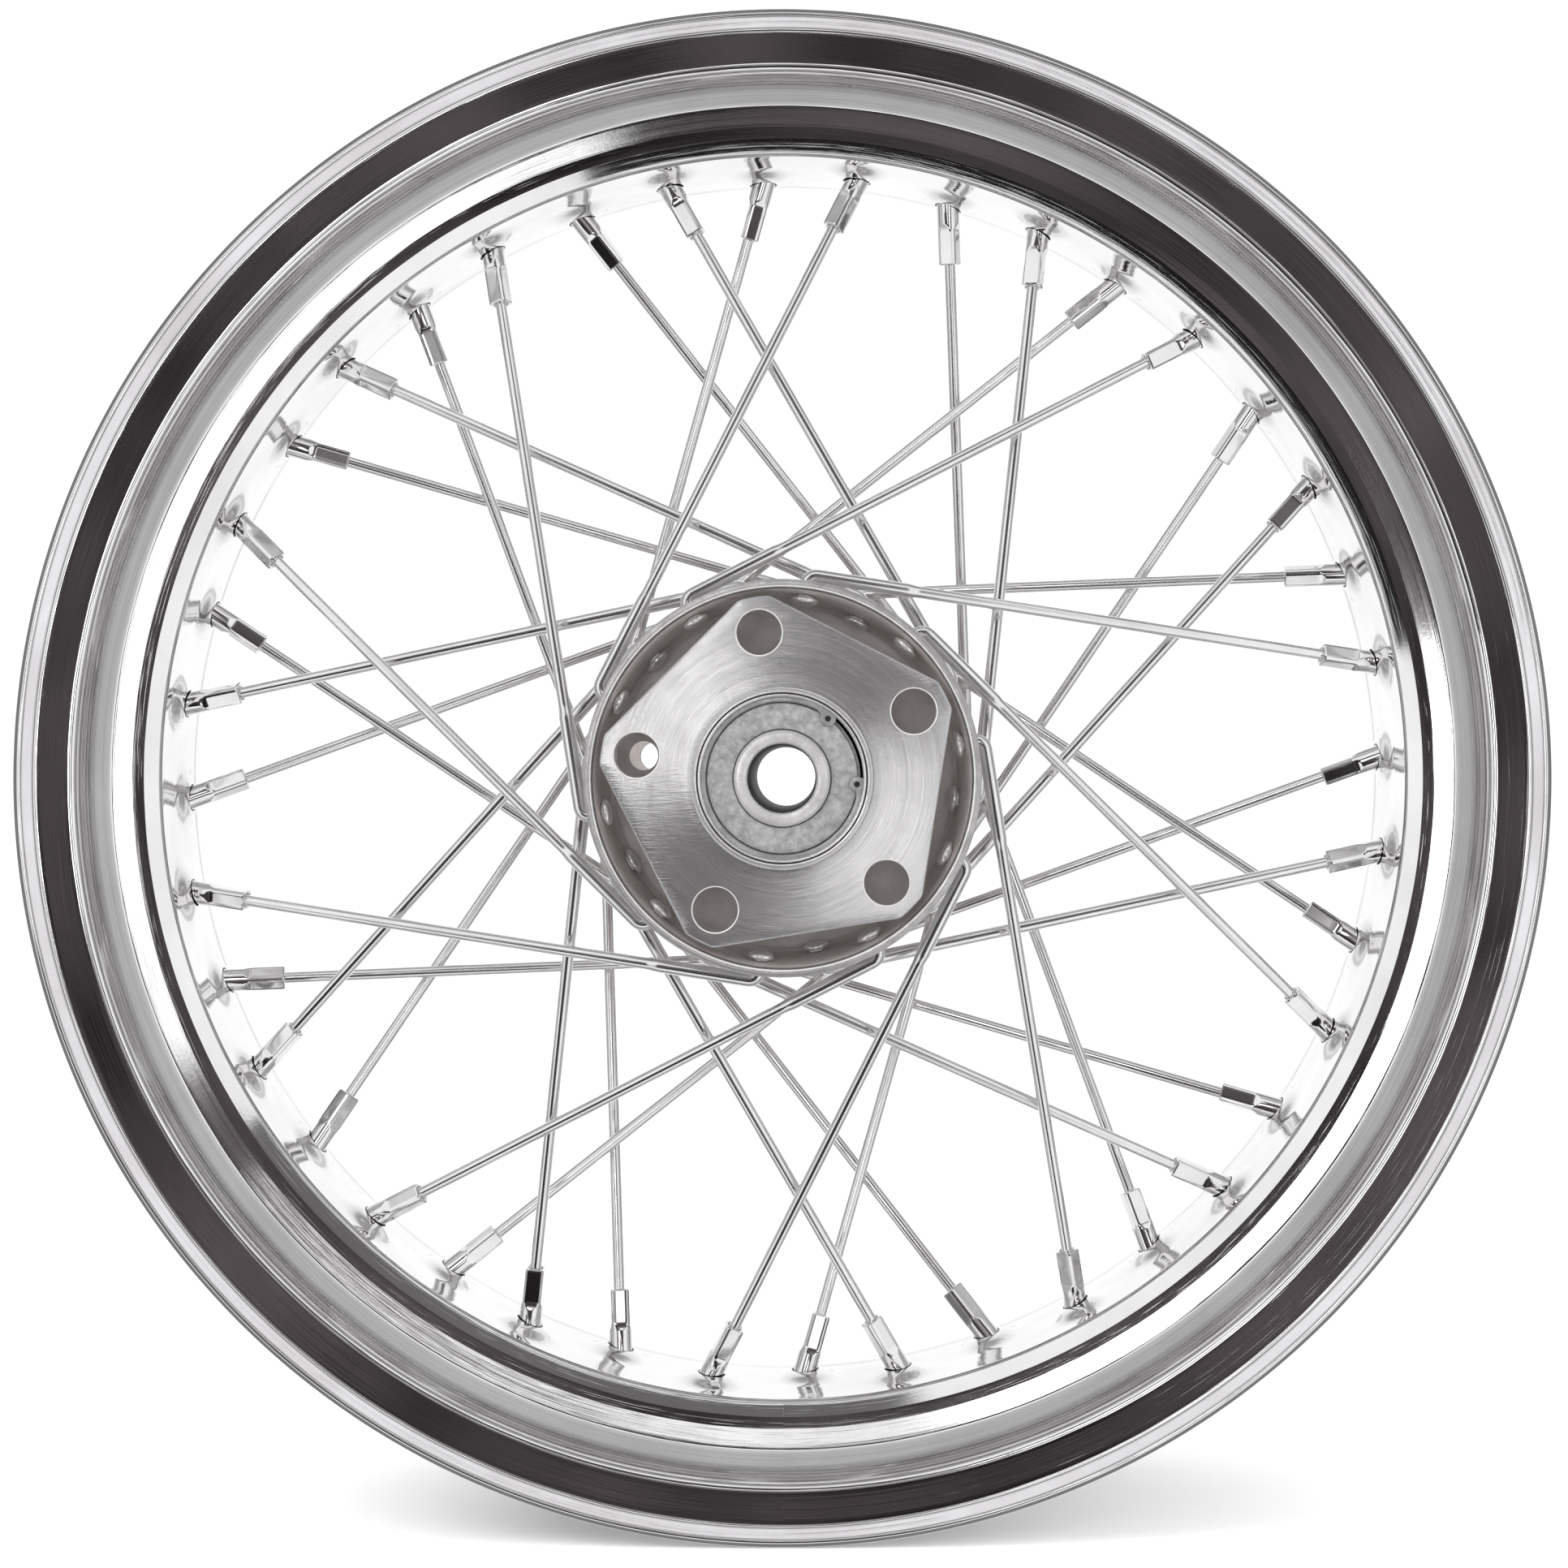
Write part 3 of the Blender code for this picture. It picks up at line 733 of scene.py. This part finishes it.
def buildBell(name, nodeName, side):
    profile = subdivided(rounded(sideways(bellOutline(), side)), 3.0 * mm)
    bm = revolved(profile, evenAngles(hub["segments"]))
    mesh = makeMesh(name, bm, [finishes["bellLitSteel"], finishes["turnedLip"], finishes["webShadedSteel"],
                                finishes["edgeHighlightSteel"]])
    drill = bmesh.new()
    for number in range(1, lacing["count"] + 1):
        spokeSide, row, hubAngle, _ = spokeLayout(number)
        if spokeSide == side:
            wall = wallRadius(row["y"])
            rowY = side * row["y"] * mm
            inner = onWheel((wall - hub["drillIn"]) * mm, hubAngle, rowY)
            outer = onWheel((wall + hub["drillOut"]) * mm, hubAngle, rowY)
            prism(drill, inner, outer, hub["spokeHole"] * mm, 24)
    angle = star["firstAngle"] - tau / star["bolts"]
    face = onWheel(star["boltCircle"] * mm, angle, side * (hub["webFace"] + hub["drillPast"]) * mm)
    back = onWheel(star["boltCircle"] * mm, angle, side * (hub["webBack"] - hub["drillPast"]) * mm)
    prism(drill, face, back, hub["locatingHole"] * mm, 40)
    mesh = drilled(mesh, drill)

    def outside(center, normal):
        # the wall's outside and the turned lip
        reach = hypot(center.x, center.z)
        atLip = abs(center.y) > (hub["lipY"] - 1.2) * mm
        radialOut = (normal.x * center.x + normal.z * center.z) / max(reach, 1e-6)
        return atLip or (reach > 50.5 * mm and radialOut > 0.3)

    def onWeb(center, normal):
        # the floor of the bell, painted darker than the wall as painted shade
        return abs(center.y) < (hub["webFace"] + 0.5) * mm and normal.y * side > 0.7

    def onInnerEdge(center, normal):
        # painted highlight: the bevel inside the lip gets a light, mostly matt steel so it shows as a
        # bright line
        reach = hypot(center.x, center.z)
        return abs(center.y) > (hub["lipY"] - 0.6) * mm and reach < (hub["lipRadius"] - 1.85) * mm

    paintFaces(mesh, 1, outside)
    paintFaces(mesh, 2, onWeb)
    paintFaces(mesh, 3, onInnerEdge)
    makePiece(name, mesh, "wheel", [nodeName])


def starRadius(angle):
    pitch = tau / star["bolts"]
    offFlat = (angle - star["firstAngle"]) % pitch - pitch / 2
    flat = star["flat"] / cos(offFlat)
    soft = 0.4  # how gently the round corner runs into the flat
    gap = star["corner"] - flat
    if gap > soft:
        return flat
    if gap < -soft:
        return star["corner"]
    return flat - (soft - gap) ** 2 / (4 * soft)


def flangeOutline():
    face = star["faceY"]
    boss = star["bossY"]
    corner = star["corner"]
    bore = star["bore"]
    # neck inside the barrel, plate, boss with its groove, then the bore with the snap ring's groove
    return [
        (12.0, 19.4, 0.3), (12.0, 24.0, 0.3), (22.9, 24.0, 0.0), (22.9, 28.0, 0.5),
        (star["backY"], 28.0, 2.0), (star["backY"], corner, 0.6),
        (face, corner, 0.7), (face, star["bossRadius"], 0.3),
        (boss - 0.5, star["bossRadius"], 0.1), (boss - 0.12, 24.95, 0.1), (boss, 24.2, 0.05),
        (boss, 23.85, 0.05), (boss - 0.4, 23.7, 0.05), (boss - 0.4, 23.45, 0.05), (boss, 23.3, 0.05),
        (boss, bore, 0.55), (52.9, bore, 0.0), (52.9, 24.0, 0.0), (51.1, 24.0, 0.0),
        (51.1, bore, 0.0), (30.6, bore, 0.4), (30.6, 19.4, 0.4),
    ]


def starShift(y, radius, angle):
    # draws the round plate in to the star's outline
    corner = star["corner"] * mm
    start = star["drawnFrom"] * mm
    if radius < start or abs(y) < (star["backY"] - 0.5) * mm:
        return y, radius
    # the plate's flat faces are drawn in evenly, and its rounded edge keeps its shape
    share = min((radius - start) / (corner - star["edgeWidth"] * mm - start), 1.0)
    return y, radius - (corner - starRadius(angle) * mm) * share


def buildFlange(name, nodeName, side):
    profile = subdivided(rounded(sideways(flangeOutline(), side)), 4.0 * mm)
    bm = revolved(profile, evenAngles(hub["segments"], star["firstAngle"]), starShift)
    mesh = makeMesh(name, bm, [finishes["turnedFlange"], finishes["bossSteel"], finishes["edgeHighlightSteel"],
                                finishes["greaseAndCreaseShade"]])
    drill = bmesh.new()
    for bolt in range(star["bolts"]):
        angle = star["firstAngle"] + tau * bolt / star["bolts"]
        reach = star["boltCircle"] * mm
        back = onWheel(reach, angle, side * (star["backY"] - 3) * mm)
        front = onWheel(reach, angle, side * (star["faceY"] + star["chamfer"]) * mm)
        countersink(drill, back, front, star["boltRadius"] * mm, 64, star["chamfer"] * mm)
    mesh = drilled(mesh, drill, 28)

    def onBoss(center, normal):
        inBoreWall = hypot(center.x, center.z) < (star["bore"] + 0.1) * mm
        return inBoreWall or abs(center.y) > (star["faceY"] + 0.1) * mm

    def onEdge(center, normal):
        # the chamfers of the bolt holes, given a light, mostly matt steel as a painted highlight ring
        bolt = round((atan2(center.x, center.z) - star["firstAngle"]) * star["bolts"] / tau)
        angle = star["firstAngle"] + tau * bolt / star["bolts"]
        offset = center - onWheel(star["boltCircle"] * mm, angle, center.y)
        nearFace = abs(center.y) > (star["faceY"] - star["chamfer"] - 0.1) * mm
        nearHole = offset.length < (star["boltRadius"] + star["chamfer"]) * mm
        return nearFace and nearHole and abs(normal.y) < 0.95

    def inShadedCrease(center, normal):
        # painted shade: the boss's groove and a thin ring along its foot are painted near black
        reach = hypot(center.x, center.z) / mm
        height = abs(center.y) / mm
        inGroove = 23.4 < reach < 23.78 and star["bossY"] - 1 < height < star["bossY"] - 0.03
        nearFoot = star["bossRadius"] - 0.1 < reach < star["bossRadius"] + 0.35
        return inGroove or (nearFoot and abs(height - star["faceY"]) < 0.35)

    paintFaces(mesh, 1, onBoss)
    paintFaces(mesh, 2, onEdge)
    paintFaces(mesh, 3, inShadedCrease)
    makePiece(name, mesh, "wheel", [nodeName])


# plain turned rings, one at each end of the hub; outlines are (y, radius, bend)
rings = {
    "sealCase": {
        "nodes": "grease_seal", "body": "wheel", "finish": "sealZinc", "slot": "seal_zinc",
        "outline": [(47.2, 13.7, 0.2), (50.4, 13.7, 0.35), (50.4, 21.1, 0.35), (48.4, 21.2, 0.2),
                    (48.4, 21.9, 0.2), (47.2, 21.9, 0.2)],
    },
    "axleCollar": {
        "nodes": "axle_collar", "body": "axle_stack", "finish": "turnedCollar", "slot": "flange_steel",
        "outline": [(46.7, 9.53, 0.2), (46.7, 13.3, 0.3), (56.3, 13.3, 0.2), (57.0, 12.6, 0.2),
                    (57.0, 10.1, 0.2), (56.4, 9.53, 0.2)],
    },
    "bearingCup": {
        "nodes": "bearing_cup", "body": "wheel", "finish": "bearingSteel", "slot": "bearing_steel",
        "outline": [(31.0, 18.3, 0.3), (43.1, 20.6, 0.3), (43.1, 22.3, 0.6), (31.0, 22.3, 0.6)],
    },
    "bearingCone": {
        "nodes": "bearing_cone", "body": "axle_stack", "finish": "bearingSteel", "slot": "bearing_steel",
        "outline": [(30.1, 9.53, 0.4), (30.1, 12.6, 0.3), (31.4, 12.6, 0.2), (31.4, 12.1, 0.0),
                    (43.0, 14.2, 0.0), (43.0, 15.6, 0.2), (46.4, 15.6, 0.6), (46.4, 9.53, 0.4)],
    },
}


def inBore(center, normal):
    # the greasy inside of the axle's bore
    return hypot(center.x, center.z) < 9.7 * mm and normal.x * center.x + normal.z * center.z < 0


def buildRings():
    for place, side in (("Front", -1), ("Rear", 1)):
        for name, ring in rings.items():
            profile = rounded(sideways(ring["outline"], side), stepLength=0.12)
            mesh = makeMesh(name + place, revolved(profile, evenAngles(180)),
                            [finishes[ring["finish"]], finishes["greaseAndCreaseShade"]])
            paintFaces(mesh, 1, inBore)
            makePiece(name + place, mesh, ring["body"], [ring["nodes"] + "_" + place.lower()])
        buildCage("rollerCage" + place, "roller_cage_" + place.lower(), side)
        buildSnapRing("snapRing" + place, "snap_ring_" + place.lower(), side)


cage = {
    "rollers": 18,
    "shell": [(32.0, 14.2, 0.2), (42.6, 16.4, 0.2), (42.6, 17.2, 0.2), (32.0, 15.0, 0.2)],
    # each roller's small and large end: distance from the axle, y, its own radius
    "smallEnd": (15.35, 32.4, 2.35),
    "largeEnd": (17.3, 42.2, 2.7),
}


def buildCage(name, nodeName, side):
    # tapered rollers sunk in a thin conical cage
    bm = revolved(rounded(sideways(cage["shell"], side)), evenAngles(144))
    smallAt, smallY, smallRadius = cage["smallEnd"]
    largeAt, largeY, largeRadius = cage["largeEnd"]
    for angle in evenAngles(cage["rollers"]):
        small = onWheel(smallAt * mm, angle, side * smallY * mm)
        large = onWheel(largeAt * mm, angle, side * largeY * mm)
        prism(bm, small, large, smallRadius * mm, 24, largeRadius * mm)
    mesh = makeMesh(name, bm, [finishes["bearingSteel"]])
    bodyName = "cage_front" if side < 0 else "cage_rear"
    makePiece(name, mesh, bodyName, [nodeName])


snapRing = {
    "inner": 21.5,
    "outer": 23.7,
    "y": 52.0,
    "halfThick": 0.6,
    "edgeRound": 0.18,
    "ears": (radians(37.6), radians(94.6)),
    "earAt": 20.9,
    "earRadius": 2.0,
    "pinHole": 0.85,
}


def snapEar(center, way):
    # (radius, angle) round the ear's inner side, from the ring's gap to its inner edge
    arc = []
    for step in range(13):
        around = radians(-20 + 200 * step / 12)
        tangential = snapRing["earRadius"] * cos(around) / snapRing["earAt"]
        arc.append((snapRing["earAt"] - snapRing["earRadius"] * sin(around), center + way * tangential))
    return arc


def snapOutline():
    # (x, z) round the open ring: outer edge, first ear, inner edge, second ear
    first, second = snapRing["ears"]
    earTurn = snapRing["earRadius"] / snapRing["earAt"]
    start = second - earTurn * 0.55
    end = tau + first + earTurn * 0.55
    outline = [(snapRing["outer"], start + (end - start) * step / 180) for step in range(181)]
    outline += snapEar(tau + first, 1)
    innerStart = end - earTurn * 2.2
    innerTurn = end - start - earTurn * 4.4
    outline += [(snapRing["inner"], innerStart - innerTurn * step / 180) for step in range(1, 180)]
    outline += snapEar(second, -1)[::-1]
    return [(radius * sin(angle), radius * cos(angle)) for radius, angle in outline]


def pinHoleOutline(ear):
    x = snapRing["earAt"] * sin(ear)
    z = snapRing["earAt"] * cos(ear)
    radius = snapRing["pinHole"]
    return [(x + radius * cos(angle), z + radius * sin(angle)) for angle in evenAngles(20)]


def buildSnapRing(name, nodeName, side):
    # a flat open ring with a round drilled ear at each end
    curve = bpy.data.curves.new(name, "CURVE")
    curve.dimensions = "2D"
    curve.fill_mode = "BOTH"
    for points in [snapOutline()] + [pinHoleOutline(ear) for ear in snapRing["ears"]]:
        spline = curve.splines.new("POLY")
        spline.points.add(len(points) - 1)
        spline.use_cyclic_u = True
        for spot, (x, z) in zip(spline.points, points):
            spot.co = (x * mm, z * mm, 0, 1)
    curve.extrude = (snapRing["halfThick"] - snapRing["edgeRound"]) * mm
    curve.bevel_depth = snapRing["edgeRound"] * mm
    drawn = linked("drawnRing", curve)
    graph = bpy.context.evaluated_depsgraph_get()
    mesh = bpy.data.meshes.new_from_object(drawn.evaluated_get(graph))
    bpy.data.objects.remove(drawn)
    bm = bmesh.new()
    bm.from_mesh(mesh)
    bpy.data.meshes.remove(mesh)
    bmesh.ops.remove_doubles(bm, verts=bm.verts, dist=1e-6)
    for vert in bm.verts:
        x, z, height = vert.co
        vert.co = (x, side * (snapRing["y"] * mm) - height, z)
    for ear in snapRing["ears"]:  # old grease fills the ears' holes
        low = onWheel(snapRing["earAt"] * mm, ear, side * (snapRing["y"] - 0.45) * mm)
        high = onWheel(snapRing["earAt"] * mm, ear, side * (snapRing["y"] - 0.05) * mm)
        prism(bm, low, high, (snapRing["pinHole"] - 0.01) * mm, 20)
    made = makeMesh(name, bm, [finishes["springSteel"], finishes["greaseAndCreaseShade"]])

    def isGrease(center, normal):
        angle = atan2(center.x, center.z)
        ear = min(snapRing["ears"], key=lambda ear: abs(angle - ear))
        spot = onWheel(snapRing["earAt"] * mm, ear, center.y)
        return (center - spot).length < (snapRing["pinHole"] - 0.005) * mm

    paintFaces(made, 1, isGrease)
    makePiece(name, made, "wheel", [nodeName])


def buildHub():
    barrel = [(-19.7, 24.4, 0.3), (-19.7, 30.0, 0.8), (19.7, 30.0, 0.8), (19.7, 24.4, 0.3)]
    mesh = makeMesh("hubBarrel", revolved(subdivided(rounded(barrel), 3 * mm), evenAngles(180)),
                    [finishes["barrelSteel"]])
    makePiece("hubBarrel", mesh, "wheel", ["hub_barrel"])
    sleeve = [(-29.8, 9.53, 0.3), (-29.8, 12.4, 0.4), (29.8, 12.4, 0.4), (29.8, 9.53, 0.3)]
    mesh = makeMesh("innerSleeve", revolved(subdivided(rounded(sleeve), 4 * mm), evenAngles(120)),
                    [finishes["sleeveZinc"], finishes["greaseAndCreaseShade"]])
    paintFaces(mesh, 1, inBore)
    makePiece("innerSleeve", mesh, "axle_stack", ["inner_spacer_sleeve"])
    for place, side in (("Front", -1), ("Rear", 1)):
        buildBell("spokeBell" + place, "spoke_bell_" + place.lower(), side)
        buildFlange("discFlange" + place, "disc_flange_" + place.lower(), side)
    buildRings()
    print("hub made")


buildHub()


studio = {
    "cameraAt": (0.0075, -0.650, 0.0033),
    "lens": 49.4,
    "shift": (-0.0160, -0.0112),
    "paper": 1.25,  # how white the background is
    "floorReach": 3.0,
    # brightness that polished metal sees, from straight in front (-1) to straight behind (1)
    "reflected": (
        (-1.0, 0.9), (-0.52, 1.0), (-0.34, 0.55), (-0.12, 0.22),
        (0.34, 0.20), (0.58, 0.85), (0.86, 1.05), (1.0, 1.08),
    ),
    # soft lamps for the matt surfaces
    "lamps": {
        "keyLeft": {"at": (-1.3, -0.5, 1.1), "size": 0.9, "power": 20.0},
        "fillRight": {"at": (1.4, -0.3, 0.7), "size": 0.9, "power": 12.0},
    },
    # cards before and behind the wheel: (clockwise angle, inner radius, outer radius) at each corner
    "cards": {
        "darkCard": {"y": -1.52, "glow": (0.062, 0.053, 0.057), "uneven": 0.85, "corners": (
            (0, 0, 1.0), (60, 0, 1.0), (80, 0, 0.86), (120, 0, 0.80),
            (165, 0, 0.86), (195, 0, 1.0), (360, 0, 1.0))},
        "farBlack": {"y": -1.515, "glow": (0.012, 0.011, 0.012), "corners": (
            (163, 0.92, 1.5), (258, 0.92, 1.5))},
        "farGrey": {"y": -1.515, "glow": (0.14, 0.135, 0.135), "corners": (
            (-13, 0.95, 1.5), (57, 0.95, 1.5))},
        "middleCard": {"y": -1.51, "glow": (0.27, 0.265, 0.265), "corners": (
            (0, 0, 0.22), (90, 0, 0.22), (180, 0, 0.22), (270, 0, 0.22), (360, 0, 0.22))},
        "rightSoftbox": {"y": -1.50, "glow": (1.2, 1.2, 1.2), "corners": (
            (64, 0.22, 0.43), (95, 0.20, 0.46), (130, 0.20, 0.46), (168, 0.24, 0.43))},
        "rightLamp": {"y": -1.49, "glow": (1.7, 1.7, 1.7), "corners": (
            (78, 0.22, 0.45), (156, 0.22, 0.45))},
        "leftLamp": {"y": -1.49, "glow": (3.5, 3.5, 3.5), "corners": (
            (258, 0.22, 0.45), (340, 0.22, 0.45))},
        "upperSoftbox": {"y": -1.50, "glow": (0.98, 0.98, 0.98), "uneven": 0.2, "corners": (
            (-88, 0.30, 0.44), (-45, 0.26, 0.46), (0, 0.26, 0.45), (16, 0.34, 0.44), (52, 0.35, 0.42))},
        "rearCardLeft": {"y": 1.4, "glow": (0.7, 0.7, 0.7), "corners": (
            (240, 0.9, 1.5), (300, 0.9, 1.5))},
        "rearCardRight": {"y": 1.4, "glow": (0.7, 0.7, 0.7), "corners": (
            (60, 0.9, 1.5), (120, 0.9, 1.5))},
    },
}


def whiteRoom():
    # the lens sees plain white; polished metal sees a softer, shaded room
    world = bpy.data.worlds.new("whiteRoom")
    world.use_nodes = True
    tree = world.node_tree
    background = tree.nodes["Background"]
    background.inputs["Strength"].default_value = 1.0
    direction = node(tree, "ShaderNodeTexCoord").outputs["Generated"]
    parts = node(tree, "ShaderNodeSeparateXYZ")
    tree.links.new(direction, parts.inputs[0])
    ahead = mathNode(tree, "MULTIPLY", mathNode(tree, "ADD", parts.outputs[1], 1.0), 0.5)
    stops = [((place + 1) / 2, (level, level, level * 1.01)) for place, level in studio["reflected"]]
    shades = ramp(tree, ahead, stops)
    glossy = node(tree, "ShaderNodeLightPath").outputs["Is Glossy Ray"]
    mix = node(tree, "ShaderNodeMix", data_type="RGBA")
    tree.links.new(glossy, mix.inputs["Factor"])
    paper = studio["paper"]
    mix.inputs[6].default_value = (paper, paper, paper, 1)
    tree.links.new(shades, mix.inputs[7])
    tree.links.new(mix.outputs[2], background.inputs["Color"])
    return world


def addCard(name, card):
    # a flat card across the axle's line that only polished metal sees
    corners = []
    stepDegrees = 6
    for (start, inner, outer), (end, nextInner, nextOuter) in zip(card["corners"], card["corners"][1:]):
        steps = max(1, round((end - start) / stepDegrees))
        for step in range(steps + 1):
            share = step / steps
            corners.append((start + (end - start) * share, inner + (nextInner - inner) * share,
                            outer + (nextOuter - outer) * share))
    points = [onWheel(outer, radians(angle), card["y"]) for angle, _, outer in corners]
    points += [onWheel(inner, radians(angle), card["y"]) for angle, inner, _ in corners]
    count = len(corners)
    faces = [(i, i + 1, count + i + 1, count + i) for i in range(count - 1)]
    mesh = bpy.data.meshes.new(name)
    mesh.from_pydata(points, [], faces)
    material = bpy.data.materials.new(name)
    material.use_nodes = True
    tree = material.node_tree
    tree.nodes.clear()
    glow = node(tree, "ShaderNodeEmission", Strength=1.0)
    place = node(tree, "ShaderNodeTexCoord").outputs["Object"]
    uneven = card.get("uneven", 0)
    low = tuple(level * (1 - uneven) for level in card["glow"])
    high = tuple(level * (1 + uneven) for level in card["glow"])
    shade = ramp(tree, noiseOf(tree, place, 2.6, 3.0, 0.6), [(0.36, low), (0.66, high)])
    tree.links.new(shade, glow.inputs["Color"])
    out = node(tree, "ShaderNodeOutputMaterial")
    tree.links.new(glow.outputs[0], out.inputs["Surface"])
    mesh.materials.append(material)
    made = linked(name, mesh)
    made.visible_camera = False
    made.visible_diffuse = False
    made.visible_shadow = False


def buildStudio():
    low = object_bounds()[0]
    scene = bpy.context.scene
    camera = linked("camera", bpy.data.cameras.new("camera"))
    camera.location = studio["cameraAt"]
    camera.rotation_euler = (radians(90), 0, 0)
    camera.data.lens = studio["lens"]
    camera.data.shift_x, camera.data.shift_y = studio["shift"]
    camera.data.clip_start = 0.01
    camera.data.clip_end = 50
    scene.camera = camera
    scene.world = whiteRoom()
    scene.view_settings.view_transform = "Standard"

    floorMesh = bpy.data.meshes.new("floor")
    reach = studio["floorReach"]
    floorMesh.from_pydata([(-reach, -reach, low[2]), (reach, -reach, low[2]), (reach, reach, low[2]),
                           (-reach, reach, low[2])], [], [(0, 1, 2, 3)])
    floor = linked("floor", floorMesh)
    material, _, shader = shaderTree("paleFloor")
    shader.inputs["Base Color"].default_value = (0.92, 0.92, 0.92, 1)
    shader.inputs["Roughness"].default_value = 0.9
    floorMesh.materials.append(material)
    floor.visible_glossy = False  # keeps the lower half of the rim as dark as the upper

    for name, lamp in studio["lamps"].items():
        light = bpy.data.lights.new(name, "AREA")
        light.size = lamp["size"]
        light.energy = lamp["power"]
        made = linked(name, light)
        made.visible_glossy = False
        made.location = lamp["at"]
        made.rotation_euler = (-Vector(lamp["at"])).to_track_quat("-Z", "Y").to_euler()

    for name, card in studio["cards"].items():
        addCard(name, card)
    print("studio made")


buildStudio()
